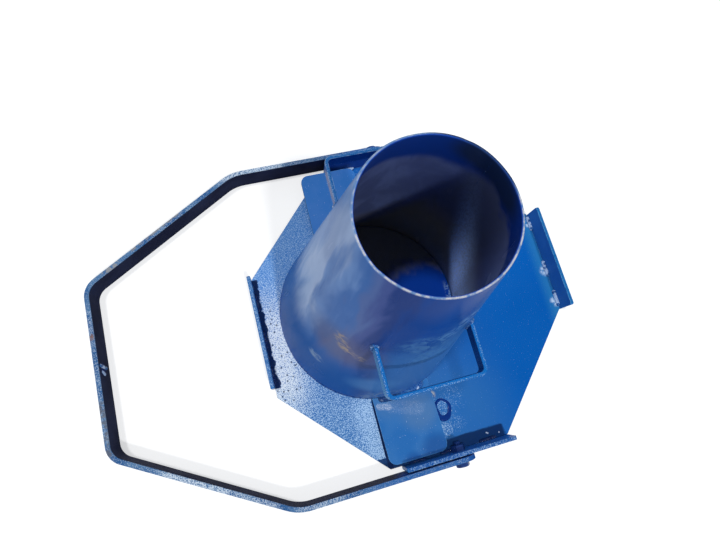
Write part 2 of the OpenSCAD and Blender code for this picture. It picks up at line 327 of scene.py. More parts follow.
# %% Plate painted shade and blues
STRONG_BLUE = (0.001, 0.102, 0.425)
MID_BLUE = (0.04, 0.155, 0.42)
FOOT_SHADES = (({"x": (-77.6, -76.7), "y": (-94, -106)}, {"x": (-69, -72), "y": (-182, -180)}),
               ({"x": (-93.8, -92.9), "y": (94, 106)}, {"x": (-86, -89), "y": (167, 165)}))
PAINTED_SHADE_DEPTH = 0.92


def painted_flange_shade(paint):
    # painted shade: dark along the left and front flanges and beside the foot pieces
    ragged = paint.swing(paint.noise(9, 4), 11 * MM)
    at_left = paint.edge(paint.plus(paint.x, ragged), -169, -170.3)
    level = paint.edge(math_node(paint.tree, "ABSOLUTE", paint.y), 62.5, 61.5)
    in_front = paint.edge(paint.plus(paint.y, paint.times(ragged, 0.3)), -161, -163)
    dark = paint.most(paint.times(at_left, level, PAINTED_SHADE_DEPTH),
                      paint.times(in_front, paint.zone(x=(61, 58)), 0.76))
    for root, end in FOOT_SHADES:
        dark = paint.most(dark, paint.times(paint.zone(**root), paint.zone(**end), PAINTED_SHADE_DEPTH))
    return dark


def plate_blue(paint):
    rear, near = paint.zone(y=(-60, 40)), paint.zone(x=(110, 20), y=(-60, -130))
    rear_left = paint.zone(x=(-60, -110), y=(0, 60))
    blue = paint.blend(paint.zone(x=(100, -50)), STRONG_BLUE, MID_BLUE)
    blue = paint.coat(blue, (0.002, 0.125, 0.5), 0.7, rear)
    blue = paint.coat(blue, (0.028, 0.16, 0.44), 0.7, near)
    blue = paint.coat(blue, (0.006, 0.125, 0.47), 0.25, paint.flecks(70, 0.4, 0.7))
    # painted light: the rear left is painted paler where the cone's shadow falls
    return paint.coat(blue, (0.088, 0.265, 0.65), 0.9, rear_left)


# %% [markdown]
# ## The whole plate
# Under the cone the paint is clean, with a film of cement on the far side and a few crumbs by
# the wall; the film lies round the pool of the side light, and its grey also stands in for the
# colour of the shade there. A fine noise makes the pebbles, which turn pale where the dust and
# the painted glints lie, and a cell texture drops some dark droplets between them. Pale patches
# by the right flange's welds and in the front corner are painted glints. The cut sides of the
# plate are painted navy as shade, and its edges are worn. Each of these is one more coat over
# the blue.

# %% Plate finish
PALE_BLUE = (0.43, 0.64, 0.9)
# white of the pale pebbles on the left: dust and painted glints
DUST_AND_GLINT_WHITE = (0.82, 0.9, 0.96)
DEEP_NAVY = (0.004, 0.012, 0.07)
DRY_CEMENT = (0.6, 0.57, 0.49)
CONE_X, CONE_FOOT = -52.0, 4.0
LIT_SPOT, FAR_SIDE, CRUMBS = (11, -20, 4), (65, 96, 4), (43, -9, 4)
SPATTER_GLINTS = ((39.4, -167.2, 4), (40.6, -168, 4), (53.6, -170.4, 4))


def floor_inside(paint, off_axis):
    by_wall = paint.edge(off_axis, 92.5, 96.5)
    crumbs = paint.times(paint.patch(CRUMBS, 8, 14), by_wall, paint.flecks(3, 0.42, 0.56, 3))
    fresh = paint.blend(crumbs, (0.005, 0.062, 0.47), (0.24, 0.42, 0.76))
    wobble = paint.swing(paint.noise(22, 3), 40 * MM)
    # painted light: the film's edge follows the side light's pool on the floor, and its grey stands in
    # for the colour of the shade
    film = paint.edge(paint.plus(paint.gap(LIT_SPOT), wobble), 48, 70)
    far_side = paint.edge(paint.plus(paint.gap(FAR_SIDE), wobble), 155, 120)
    return paint.blend(film, fresh, (0.23, 0.245, 0.29)), far_side


def plate_finish():
    paint = Finish("speckled_plate_enamel", 0.04)
    pebbles = paint.noise(0.95)
    dust_and_glint, left = plate_dust_and_glints(paint)
    dark = painted_flange_shade(paint)
    off_axis = paint.gap((CONE_X, 0, CONE_FOOT))
    under_cone = paint.edge(off_axis, 101, 99)
    inner_colour, far_side = floor_inside(paint, off_axis)
    colour = paint.blend(paint.times(under_cone, far_side), plate_blue(paint), inner_colour)
    # painted shade along the flanges and beside the feet
    colour = paint.blend(dark, colour, DEEP_NAVY)
    clean = paint.times(paint.step(dark, 0.5, 0.2), paint.step(under_cone, 0.6, 0.2))
    amount = paint.plus(paint.times(dust_and_glint, 0.24), paint.times(left, 0.12))
    pale = paint.times(paint.step(paint.plus(pebbles, amount), 0.68, 0.86), clean)
    # pale pebbles: dust and painted glints
    colour = paint.coat(colour, paint.blend(left, PALE_BLUE, DUST_AND_GLINT_WHITE), 0.95, pale)
    droplets = paint.times(paint.dots(6, 0.15), paint.step(left, 0.35, 0.8))
    colour = paint.coat(colour, (0.015, 0.045, 0.11), 0.85, droplets)
    cement = paint.times(paint.patch((-9, -112, 4), 1.5, 4), paint.flecks(3, 0.4, 0.56))
    colour = paint.coat(colour, DRY_CEMENT, 0.8, cement)
    colour = paint.coat(colour, (0.06, 0.33, 0.49), 0.35, paint.zone(x=(155, 172)))
    # painted glints by the right flange's welds
    for across in (-45, -6, 58):
        painted_glint = paint.times(paint.patch((173, across, 4), 3, 6), paint.flecks(6, 0.4, 0.6, 3))
        colour = paint.coat(colour, (0.62, 0.76, 0.92), 0.85, painted_glint)
    # painted glints on weld spatter in the front corner
    for glint_spot in SPATTER_GLINTS:
        colour = paint.blend(paint.patch(glint_spot, 0.3, 0.9), colour, (0.62, 0.72, 0.9))
    # painted shade: the cut sides of the plate are darkened to navy
    colour = paint.coat(colour, DEEP_NAVY, 0.85, paint.mark("side"))
    worn = paint.times(paint.mark("edge"), paint.flecks(9, 0.5, 0.62, 3))
    colour = paint.coat(colour, (0.25, 0.38, 0.55), 0.4, worn)
    return paint.done(colour, paint.scaled(pale, 0.25, 0.22), pebbles, 0.2)


plate_enamel = plate_finish()

# %% [markdown]
# ## Flanges, foot pieces, handles and bolts
# These are cut from flat bar and painted with the same enamel. The upper edges of the bars
# carry a fine speckle of painted glints, their corners are rubbed bright and carry painted
# highlights, and the foot pieces' sides are painted dark as shade. On the handles the painted
# glints are dense only on the outer half of the upper edge. One recipe with a few values serves
# all of them: the two blues of the broad faces, the height, blue and speckle of the upper edge,
# and how bright the corners are.

# %% Bar recipe
NO_TOP = (60, MID_BLUE, 0)


def bar_finish(name, specular, blues, top=NO_TOP, corner=0.35, side=0, spots_and_painted_light=(), dust_and_glints=(),
               rubbed_and_glint_blue=(0.14, 0.43, 0.78), outer=()):
    top_mm, top_blue, top_glint_share = top
    paint = Finish(name, specular)
    pebbles = paint.noise(0.8)
    colour = paint.blend(paint.flecks(30, 0.35, 0.68), *blues)
    # patches of colour, some of them painted shade and painted reflection
    for centre, size, shade in spots_and_painted_light:
        colour = paint.coat(colour, shade, 0.75, paint.patch(centre, size, size * 1.6))
    # painted shade: upright sides darkened towards navy
    colour = paint.coat(colour, DEEP_NAVY, side, paint.mark("side"))
    upper = paint.zone(z=(top_mm - 0.9, top_mm - 0.3))
    colour = paint.blend(upper, colour, top_blue)
    grains = paint.step(pebbles, 0.5, 0.62)
    # painted glints: the pale speckle on the upper edge, denser on the outer half of the handles
    for edge in outer:
        top_glint_share = paint.most(top_glint_share, paint.times(paint.zone(**edge), 0.6))
    colour = paint.coat(colour, PALE_BLUE, top_glint_share, upper, grains)
    few = paint.times(paint.flecks(1.3, 0.7, 0.75), paint.step(paint.mark("side"), 0.5, 0.2))
    colour = paint.coat(colour, (0.6, 0.76, 0.92), 0.55, few)
    # rubbed corners, brightened also as painted highlights
    rubbed_and_glint = paint.times(paint.mark("edge"), paint.flecks(6, 0.36, 0.6, 3))
    colour = paint.coat(colour, rubbed_and_glint_blue, corner, rubbed_and_glint)
    # white specks for dust and painted glints
    for start, end, size, amount in dust_and_glints:
        white = paint.times(paint.smear(start, end, size, size * 1.6),
                            paint.plus(paint.flecks(1, 0.46, 0.66), 0.25))
        colour = paint.coat(colour, (0.74, 0.82, 0.93), amount, white)
    return paint.done(colour, paint.scaled(grains, 0.15, 0.2), pebbles, 0.1)


# %% Bar finishes
FLANGE_TOP, HANDLE_TOP = 30, 200
FLANGE_BLUES = ((0.032, 0.19, 0.54), (0.046, 0.23, 0.6))
# painted shade: darker blues for the rear flange
REAR_SHADED_BLUES = ((0.014, 0.07, 0.34), (0.024, 0.1, 0.4))
# foot patches; the last two are painted shade beside the front flange
FOOT_SPOTS_AND_SHADE = (
    ((-30, -124, 11), 11, (0.085, 0.205, 0.42)), ((-62, -108, 10), 9, (0.06, 0.19, 0.44)),
    ((-22, -168, 16), 9, (0.016, 0.09, 0.31)), ((-50, -175, 16), 6, (0.012, 0.08, 0.3)))
# white by the foot's weld: dust and painted glints
FOOT_DUST_AND_GLINTS = (
    ((-71, -109, 10), (-61, -112, 10), 1.8, 0.45), ((-57, -111, 10), (-30, -121, 10), 4, 0.12))
# painted reflection: a paler patch on the front handle's left leg
HANDLE_REFLECTION = ((-92, -82, 194), 13, (0.12, 0.42, 0.84))
LEG_EDGES = ({"x": (-90.2, -90.8)}, {"x": (-13.8, -13.2)})

flange_enamel = bar_finish(
    "flange_enamel", 0.02, FLANGE_BLUES, (FLANGE_TOP, (0.014, 0.095, 0.34), 0.58))
# painted shade: the rear flange is a darker copy, with painted glints on its upper edge
rear_flange_shaded_enamel = bar_finish(
    "rear_flange_shaded_enamel", 0.02, REAR_SHADED_BLUES, (FLANGE_TOP, (0.16, 0.3, 0.6), 0.55))
left_flange_enamel = bar_finish(
    "left_flange_enamel", 0.02, FLANGE_BLUES, (FLANGE_TOP, (0.044, 0.155, 0.405), 0.66))
right_flange_enamel = bar_finish(
    "right_flange_enamel", 0.02, FLANGE_BLUES, (FLANGE_TOP, (0.01, 0.14, 0.4), 0.06), corner=0.6)
foot_enamel = bar_finish(
    "foot_enamel", 0.06, ((0.024, 0.155, 0.45), (0.04, 0.18, 0.47)),
    corner=0.45, side=0.9, spots_and_painted_light=FOOT_SPOTS_AND_SHADE, dust_and_glints=FOOT_DUST_AND_GLINTS)
# painted light: the rear foot is a paler copy of the foot's blues
rear_foot_lit_enamel = bar_finish(
    "rear_foot_lit_enamel", 0.06, ((0.04, 0.2, 0.6), (0.06, 0.22, 0.62)), corner=0.45, side=0.9)
handle_enamel = bar_finish(
    "handle_enamel", 0.03, ((0.001, 0.04, 0.2), (0.002, 0.06, 0.27)),
    (HANDLE_TOP, (0.003, 0.145, 0.48), 0.08), corner=0.6, spots_and_painted_light=[HANDLE_REFLECTION],
    rubbed_and_glint_blue=(0.002, 0.09, 0.34), outer=(*LEG_EDGES, {"y": (-97.5, -98.1)}))
# painted light: the rear handle is paler, and its bright corners are painted highlights
rear_handle_lit_enamel = bar_finish(
    "rear_handle_lit_enamel", 0.03, ((0.004, 0.075, 0.36), (0.01, 0.11, 0.44)),
    (HANDLE_TOP, (0.02, 0.16, 0.48), 0.15), corner=0.8,
    rubbed_and_glint_blue=(0.4, 0.58, 0.84), outer=(*LEG_EDGES, {"y": (97.5, 98.1)}))
bolt_enamel = bar_finish(
    "bolt_enamel", 0.1, ((0.008, 0.03, 0.14), (0.016, 0.06, 0.23)), corner=0)

# %% [markdown]
# ## The bail's finish
# The bail lies on the ground between tests. Its inner faces are painted almost black navy and
# dull, as painted shade, its outer ones a clean blue, and its two narrow edges are a speckled
# grey blue, partly scuffs and partly painted glints, with bare steel and a little rust. The
# narrow edges are found by their height, because the bar stands on edge at rest, and the outer
# faces by a mark on the mesh.

# %% Bail faces and edges
BARE_STEEL = (0.33, 0.33, 0.33)
RUST = (0.22, 0.09, 0.045)
BAIL_TOP, BAIL_MIDDLE = 30, 15
BAIL_WEAR = (
    ((-343, 35), (-343, 33), 2, RUST), ((-342, -38), (-342, -82), 4, (0.13, 0.14, 0.17)),
    ((-318, 101), (-311, 105), 4, BARE_STEEL), ((-291, 118), (-238, 149), 1.5, (0.3, 0.29, 0.29)))
BAIL_GLINTS = (
    ((-342, 15), (-342, -36), 0.3), ((-342, 52), (-342, 24), 0.45),
    ((-290, -119), (-246, -144), 1), ((-236, -149), (-205, -167), 0.7),
    ((-168, -184), (-140, -184), 0.65), ((-175, 180), (-120, 184), 0.95))


def bail_faces(paint):
    # painted shade: the inner faces are nearly black navy
    broad = paint.blend(paint.flecks(40, 0.35, 0.7, 3), (0.014, 0.018, 0.048), (0.026, 0.034, 0.08))
    broad = paint.coat(broad, (0.02, 0.045, 0.2), 0.8, paint.patch((-339, 1, 18), 4, 4))
    outer_face = paint.step(paint.mark("side"), 0.95, 0.65)
    front_end = paint.zone(x=(-78, -62), y=(10, -10))
    return paint.blend(paint.most(outer_face, front_end), broad, (0.018, 0.1, 0.36))


def bail_edges(paint, pebbles):
    blue = paint.blend(paint.flecks(26, 0.38, 0.64), (0.028, 0.11, 0.29), (0.09, 0.2, 0.38))
    behind = paint.times(paint.zone(y=(-10, 10)), -45 * MM)
    pivots = paint.edge(paint.plus(paint.x, behind), -130, -70)
    blue = paint.coat(blue, (0.022, 0.12, 0.38), 0.8, pivots)
    # painted glints on the narrow edges
    bright = paint.times(paint.flecks(60, 0.4, 0.6), paint.scaled(pivots, -0.25, 0.32))
    for start, end, amount in BAIL_GLINTS:
        glint_line = paint.smear((*start, BAIL_TOP), (*end, BAIL_TOP), 4, 14)
        bright = paint.most(bright, paint.times(glint_line, amount))
    grains = paint.step(paint.plus(pebbles, paint.times(bright, 0.12)), 0.54, 0.64)
    blue = paint.coat(blue, (0.72, 0.82, 0.92), paint.scaled(bright, 0.55, 0.25), grains)
    for start, end, size, shade in BAIL_WEAR:
        bare = paint.smear((*start, BAIL_TOP), (*end, BAIL_TOP), size, size)
        blue = paint.coat(blue, shade, 0.8, bare, paint.flecks(4, 0.36, 0.56, 3))
    return blue, grains


# %% Bail finish
def bail_finish():
    paint = Finish("bail_enamel", 0.004)
    pebbles = paint.noise(0.9)
    off_middle = math_node(paint.tree, "ABSOLUTE", paint.plus(paint.z, -BAIL_MIDDLE * MM))
    narrow = paint.edge(off_middle, 14.2, 14.7)
    edge_blue, grains = bail_edges(paint, pebbles)
    colour = paint.blend(narrow, bail_faces(paint), edge_blue)
    scuffed = paint.times(paint.mark("edge"), paint.flecks(8, 0.46, 0.6, 3))
    colour = paint.coat(colour, (0.2, 0.28, 0.4), 0.35, scuffed)
    return paint.done(colour, paint.scaled(grains, 0.2, 0.4), pebbles, 0.1)


bail_enamel = bail_finish()

# %% [markdown]
# ## The cone's outside
# The colour changes in streaks around the cone: slate and mid blue on the left and a violet
# haze in the middle are painted reflections of the pale ground, brown scrapes lie in the
# middle, and navy and royal blue run towards the handle. A ramp of colours goes once around,
# starting and ending at the welded seam, and a noise stretched along the height frays its
# borders. Low down the blue is deeper, a painted reflection of the blue plate, and some of the
# small patches are painted highlights and reflections.

# %% Outside of the cone
# colours around the cone, with painted reflections on the left and in the middle
AROUND_COLOURS_AND_REFLECTIONS = (
    (0.00, (0.02, 0.12, 0.42)), (0.17, (0.08, 0.2, 0.52)), (0.32, (0.14, 0.31, 0.69)),
    (0.385, (0.41, 0.565, 0.88)), (0.425, (0.44, 0.585, 0.89)), (0.455, (0.18, 0.335, 0.7)),
    (0.485, (0.07, 0.19, 0.53)), (0.52, (0.11, 0.185, 0.46)), (0.55, (0.075, 0.12, 0.37)),
    (0.58, (0.026, 0.065, 0.27)), (0.62, (0.014, 0.075, 0.35)), (0.667, (0.01, 0.085, 0.4)),
    (0.76, (0.018, 0.12, 0.44)), (1.00, (0.02, 0.12, 0.42)))
SEAM_TURN = 30
SCRAPES = (
    ((-111, -43, 180), (-112, -44, 171), 1.5), ((-111, -46, 168), (-108, -51, 160), 3),
    ((-108, -51, 160), (-99, -61, 154), 2))
BRUSHED_AND_REFLECTED = (
    ((-54, -68, 209), 12, (0.11, 0.3, 0.62)), ((-40, -78, 170), 12, (0.09, 0.27, 0.6)),
    ((-128, -44, 85), 5, (0.4, 0.55, 0.72)), ((-66, -97, 14), 14, (0.24, 0.34, 0.46)),
    ((-51, -62, 246), 9, (0.003, 0.07, 0.39)), ((-42, -58, 264), 6, (0.002, 0.06, 0.36)),
    ((-36, -64, 222), 7, (0.11, 0.29, 0.63)), ((-27, -58, 240), 7, (0.18, 0.38, 0.74)))


def around_share(paint):
    cosine, sine = math.cos(math.radians(SEAM_TURN)), math.sin(math.radians(SEAM_TURN))
    off_axis = paint.plus(paint.x, -CONE_X * MM)
    ahead = paint.plus(paint.times(off_axis, -cosine), paint.times(paint.y, -sine))
    aside = paint.plus(paint.times(off_axis, sine), paint.times(paint.y, -cosine))
    return paint.scaled(math_node(paint.tree, "ARCTAN2", aside, ahead), 0.5 / math.pi, 0.5)


def cone_outside(paint):
    strokes = paint.noise(20, 3, 0.4, (1, 1, 0.15))
    colour = paint.ramp(paint.plus(around_share(paint), paint.swing(strokes, 0.15)), AROUND_COLOURS_AND_REFLECTIONS)
    cloud = paint.flecks(30, 0.48, 0.66, 3, 0.4, (1, 1, 0.3))
    colour = paint.coat(colour, (0.024, 0.1, 0.37), 0.3, cloud)
    height = paint.plus(paint.z, paint.times(strokes, 60 * MM))
    # painted reflection: deeper blue low on the left, for the blue plate
    low_left = paint.times(paint.edge(height, 190, 110), paint.zone(x=(-80, -105)))
    colour = paint.coat(colour, (0.006, 0.105, 0.43), 0.9, low_left)
    low_right = paint.times(paint.edge(height, 255, 215), paint.zone(x=(-92, -70)))
    colour = paint.coat(colour, (0.056, 0.195, 0.53), 0.8, low_right)
    colour = paint.coat(colour, (0.075, 0.24, 0.58), 0.7, paint.patch((-80, -86, 74), 12, 24))
    # painted reflection: a violet haze
    painted_reflection_haze = paint.patch((-110, -48, 155), 16, 34)
    colour = paint.coat(colour, (0.13, 0.135, 0.25), 0.55, painted_reflection_haze)
    smudge = paint.noise(8, 4, 1)
    for start, end, size in SCRAPES:
        scraped = paint.times(paint.smear(start, end, size, 7), paint.step(smudge, 0.36, 0.66))
        colour = paint.coat(colour, (0.41, 0.335, 0.29), 0.75, scraped)
    # patches: brush marks, painted highlights and painted reflections
    for centre, size, shade in BRUSHED_AND_REFLECTED:
        brushed_and_reflected = paint.times(paint.patch(centre, size, size * 1.4), paint.step(smudge, 0.38, 0.62))
        colour = paint.coat(colour, shade, 0.6, brushed_and_reflected)
    return colour, strokes


# %% [markdown]
# ## The cone's inside
# The inside is a greyer blue with deep blue overspray below the rim. Below a slanting line that
# follows the edge of the key light's shadow lies a grey film of cement, whose grey also stands
# in for the colour of the shade there, and one streak of painted light leans across the wall
# where the side light grazes it. The distance from a plane through the streak gives its two
# soft borders.

# %% Inside of the cone
STREAK_LEAN, STREAK_AT = (0.924, -0.3, 0.31), 55.5


# painted light: a pale streak across the inner wall
def painted_light_streak(paint):
    across = paint.plus(paint.vector("DOT_PRODUCT", paint.place, STREAK_LEAN), -STREAK_AT * MM)
    body = paint.times(paint.edge(across, -12.5, -2), paint.edge(across, 21, 1))
    fade = paint.scaled(paint.zone(y=(12, -16)), -0.66, 1)
    grit = paint.flecks(1.6, 0.4, 0.58, 2, 0, (1, 1, 0.35))
    return paint.times(body, paint.zone(y=(40, 16)), fade, paint.scaled(grit, 0.45, 0.55))


def cone_inside(paint):
    film = paint.flecks(24, 0.36, 0.66, 4, 0.5, (1, 1, 0.4))
    blue_film = paint.blend(film, (0.15, 0.205, 0.47), (0.22, 0.3, 0.64))
    slant = paint.plus(paint.y, paint.times(paint.z, 0.266))
    ahead = paint.blend(paint.zone(y=(4, -36)), (0.15, 0.18, 0.3), (0.33, 0.41, 0.78))
    cement = paint.blend(paint.zone(z=(110, 200)), (0.47, 0.395, 0.245), ahead)
    # cement film below the key light's shadow edge; its grey stands in for the colour of the shade
    colour = paint.coat(blue_film, cement, 0.9, paint.edge(slant, 111, 100))
    streak = painted_light_streak(paint)
    # painted light: the streak's pale blue
    colour = paint.coat(colour, (0.48, 0.68, 0.98), 0.9, streak)
    on_right = paint.zone(y=(30, 0))
    ragged = paint.swing(paint.noise(26), paint.scaled(on_right, 40 * MM, 16 * MM))
    ragged = paint.plus(paint.z, ragged, paint.times(paint.zone(y=(10, 45)), 14 * MM),
                        paint.times(on_right, 8 * MM))
    # painted shade on the spray band at the rear
    shaded = paint.smear((-13, 33, 294), (-1, 8, 288), 7, 18)
    spray = paint.blend(shaded, (0.014, 0.075, 0.46), (0.024, 0.055, 0.165))
    return paint.blend(paint.edge(ragged, 272, 288), colour, spray), streak


# %% [markdown]
# ## Rim and whole cone
# The cut rim is rubbed bright, except on the far side, where it is painted dark as shade. The
# mesh carries two marks, `inside` and `rim`, which say where on the sheet we are, so one
# material holds all three recipes. The streak of painted light also sets the weight of the
# shader's sheen, a painted sheen that brightens it where it is seen at a low angle.

# %% Cone finish
STREAK_SHEEN, SHEEN_TINT, SHEEN_ROUGHNESS = 3.6, (0.39, 0.57, 1, 1), 0.32


def cone_rim(paint):
    chips = paint.times(paint.flecks(5, 0.4, 0.6, 3), paint.scaled(paint.zone(y=(30, -10)), 0.6, 0.4))
    rim = paint.blend(chips, (0.15, 0.28, 0.52), (0.62, 0.62, 0.64))
    # painted shade: the far side of the rim is darkened
    return paint.coat(rim, (0.008, 0.022, 0.08), 0.95, paint.zone(x=(-50, -30), y=(-2, 12)))


def cone_finish():
    paint = Finish("rolled_cone_enamel", 0.012)
    inside = paint.mark("inside")
    colour, strokes = cone_outside(paint)
    inner_colour, streak = cone_inside(paint)
    colour = paint.blend(inside, colour, inner_colour)
    colour = paint.blend(paint.mark("rim"), colour, cone_rim(paint))
    # painted sheen: the streak sets the sheen's weight, above one
    sheen = paint.times(inside, streak, STREAK_SHEEN)
    fill_inputs(paint.tree, paint.shader, {"Sheen Weight": sheen, "Sheen Tint": SHEEN_TINT,
                                           "Sheen Roughness": SHEEN_ROUGHNESS})
    return paint.done(colour, paint.scaled(strokes, 0.14, 0.18), paint.noise(7, 3), 0.1)


cone_enamel = cone_finish()

# %% [markdown]
# ## The weld finish and the thick paint
# Weld beads were painted over with everything else. Their crests carry pale painted glints,
# stronger where the beads are lit, and beads that lie in shade are painted dark as shade. The
# ring on the plate is where a pool of paint dried thick and dark, so it has no pebbles at all.

# %% Weld and thick paint finishes
def weld_finish():
    paint = Finish("painted_weld", 0.1)
    lumps = paint.noise(1.8, 3)
    colour = paint.blend(paint.step(lumps, 0.4, 0.6), (0.008, 0.075, 0.31), (0.05, 0.17, 0.43))
    lit = paint.most(paint.zone(x=(160, 168)), paint.zone(x=(-300, -330)), paint.zone(y=(160, 166)))
    # painted glints on the crests, stronger where the beads are lit
    crest_glints = paint.step(paint.plus(paint.noise(5), paint.times(lit, 0.18)), 0.58, 0.72)
    colour = paint.coat(colour, (0.56, 0.73, 0.98), 0.85, crest_glints)
    # painted shade: beads by the left flange, along the front flange and by the foot
    at_left = paint.times(paint.zone(x=(-168, -170)), paint.zone(x=(-300, -250)))
    by_foot = paint.times(paint.patch((-66, -101, 9), 14, 10), 0.75)
    in_shade = paint.most(at_left, paint.zone(y=(-160, -166)), by_foot)
    colour = paint.coat(colour, (0.004, 0.016, 0.09), 0.95, in_shade)
    return paint.done(colour, paint.scaled(lumps, 0.2, 0.12), lumps, 0.25)


def thick_paint_finish():
    paint = Finish("thick_dried_paint", 0.06)
    ripple = paint.noise(4)
    colour = paint.blend(ripple, (0.001, 0.018, 0.15), (0.003, 0.045, 0.26))
    return paint.done(colour, paint.scaled(ripple, 0.1, 0.12), ripple, 0.1)


weld_enamel = weld_finish()
thick_paint = thick_paint_finish()

# %% [markdown]
# ## Bars and plates with real edges
# Sawn and sheared steel never has a knife edge. Each flat piece is copied from the solid
# model, its triangles are merged back into whole faces, and its sharp edges are rounded. The
# narrow new faces are marked `edge`, which is where the recipes rub the paint, and upright
# faces are marked `side`, only by half on the outside of the bail, whose finish needs to tell
# its two sides apart. A weighted normal modifier then keeps the broad faces flat.

# %% Rounded copies
NODE_SLOT = {part["node"]: part["material_slot"] for part in frame["record"]["subparts"]}
BODY_NODES = frame["record"]["behaviour"]["bodies"]
NODE_BODY = {name: body for body, names in BODY_NODES.items() for name in names}


def show(piece, finish, body, slot, *nodes):
    if not piece.data.materials:
        piece.data.materials.append(finish)
    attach(piece, body)
    if nodes:
        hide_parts(*nodes)
    return piece


MERGE, FLAT_WITHIN, SHARP_FROM = 0.002 * MM, math.radians(0.6), math.radians(35)
OUTSIDE_OF_BAIL = 0.55


def rounded_copy(node_name, finish, radius_mm):
    shape = bmesh.new()
    shape.from_mesh(frame["nodes"][node_name].data)
    bmesh.ops.remove_doubles(shape, verts=shape.verts, dist=MERGE)
    bmesh.ops.dissolve_limit(shape, angle_limit=FLAT_WITHIN, verts=shape.verts, edges=shape.edges)
    sharp = [e for e in shape.edges if len(e.link_faces) == 2 and e.calc_face_angle() > SHARP_FROM]
    mark = shape.faces.layers.float.new("edge")
    side = shape.faces.layers.float.new("side")
    made = bmesh.ops.bevel(shape, geom=sharp, offset=radius_mm * MM, offset_type="OFFSET", segments=2,
                           profile=0.5, affect="EDGES", clamp_overlap=True)
    for face in made["faces"]:
        face[mark] = 1.0
    for face in shape.faces:
        face.smooth = True
        face[side] = 1.0 - min(1.0, abs(face.normal.z) * 1.5)
        if face.normal.dot(face.calc_center_median()) > 0 and node_name == "carrying_bail":
            face[side] *= OUTSIDE_OF_BAIL
    mesh = bpy.data.meshes.new(node_name + "_rounded")
    shape.to_mesh(mesh)
    shape.free()
    piece = new_piece(node_name + "_rounded", mesh)
    piece.modifiers.new("flat shading", "WEIGHTED_NORMAL").keep_sharp = True
    print(piece.name, len(mesh.polygons), "faces")
    return show(piece, finish, NODE_BODY[node_name], NODE_SLOT[node_name], node_name)


for name, finish, radius in [
        ("base_plate", plate_enamel, 0.5), ("front_flange", flange_enamel, 0.6),
        ("right_flange", right_flange_enamel, 0.6), ("rear_flange", rear_flange_shaded_enamel, 0.6),
        ("left_flange", left_flange_enamel, 0.6), ("carrying_bail", bail_enamel, 0.6),
        ("front_handle", handle_enamel, 0.4), ("rear_handle", rear_handle_lit_enamel, 0.4),
        ("front_foot", foot_enamel, 0.5), ("rear_foot", rear_foot_lit_enamel, 0.5)]:
    rounded_copy(name, finish, radius)

for name in ("front_pivot_nut", "rear_pivot_nut", "front_pivot_washer", "rear_pivot_washer"):
    node = frame["nodes"][name]
    if not node.material_slots:
        node.data.materials.append(bolt_enamel)
    node.material_slots[0].material = bolt_enamel

# %% [markdown]
# ## Skins from rings of points
# Several pieces are a stack of rings: the rolled cone, the bolts and the ring of thick paint.
# One helper joins rings of equal count with four sided faces, and either closes the stack on
# itself, like a tyre, or caps both ends.

# %% Ring skin helper
def mark_points(mesh, label, values):
    mesh.attributes.new(label, "FLOAT", "POINT").data.foreach_set("value", values)


def ring_skin(name, rings, looped, marks=None):
    count = len(rings[0])
    points = [point for ring in rings for point in ring]
    faces = []
    for row in range(len(rings) if looped else len(rings) - 1):
        here, there = row * count, (row + 1) % len(rings) * count
        for k in range(count):
            after = (k + 1) % count
            faces.append((here + k, here + after, there + after, there + k))
    if not looped:
        faces.append(tuple(range(count))[::-1])
        faces.append(tuple(range(len(points) - count, len(points))))
    mesh = bpy.data.meshes.new(name)
    mesh.from_pydata([Vector(p) * MM for p in points], [], faces)
    shape = bmesh.new()
    shape.from_mesh(mesh)
    bmesh.ops.recalc_face_normals(shape, faces=shape.faces)
    shape.to_mesh(mesh)
    shape.free()
    for label, values in (marks or {}).items():
        mark_points(mesh, label, [value for value in values for _ in range(count)])
    mesh.shade_smooth()
    print(name, len(mesh.polygons), "faces")
    return new_piece(name, mesh)


# %% [markdown]
# ## The rolled cone
# The cone is one sheet rolled by hand, so it is never quite round: the wall wanders by a
# fraction of a millimetre, and the cut rim has small nicks. The rings run up the outside, over
# the rounded rim, and back down the inside. The marks tell the finish which side is which.

# %% Rolled cone
CONE_TALL, CONE_BASE_R, CONE_MOUTH_R, SHEET = 300.0, 102.0, 52.0, 2.0
AROUND, UPWARD = 192, 36
NICKED = 0.6


def cone_radius(height):
    return CONE_BASE_R - (CONE_BASE_R - CONE_MOUTH_R) * height / CONE_TALL


def wander(turn, height):
    share = height / CONE_TALL
    oval = 0.22 * math.sin(2 * turn + 0.7) * share
    return oval + 0.1 * math.sin(5 * turn + 3 * share) + 0.05 * math.sin(11 * turn)


def nick(turn):
    wave = math.sin(7 * turn + 1) + math.sin(12 * turn + 2.2) + math.sin(23 * turn)
    return max(0.0, wave - 1.5) * 0.35


def cone_rings():
    wall = [CONE_TALL * k / UPWARD for k in range(UPWARD)] + [CONE_TALL - 1.6]
    # each point: height, how far inwards, and its marks for inside and rim
    profile = [(h, 0.0, 0, 0) for h in wall]
    top = CONE_TALL - 0.002
    profile += [(top - 0.9, 0.02, 0, 0), (top - 0.3, 0.2, 0, 0.5), (top, 0.55, 0, 1), (top, 1.05, 0, 0.9)]
    profile += [(top, 1.4, 1, 0.1), (top - 0.3, 1.8, 1, 0), (top - 0.9, 1.98, 1, 0)]
    profile += [(h, SHEET, 1, 0) for h in reversed(wall)]
    rings = []
    for height, inward, _, _ in profile:
        ring = []
        for k in range(AROUND):
            turn = 2 * math.pi * k / AROUND
            radius = cone_radius(height) - inward + wander(turn, height)
            drop = nick(turn) if height > CONE_TALL - NICKED else 0.0
            ring.append((CONE_X + radius * math.cos(turn), radius * math.sin(turn),
                         CONE_FOOT + height - drop))
        rings.append(ring)
    return rings, {"inside": [p[2] for p in profile], "rim": [p[3] for p in profile]}


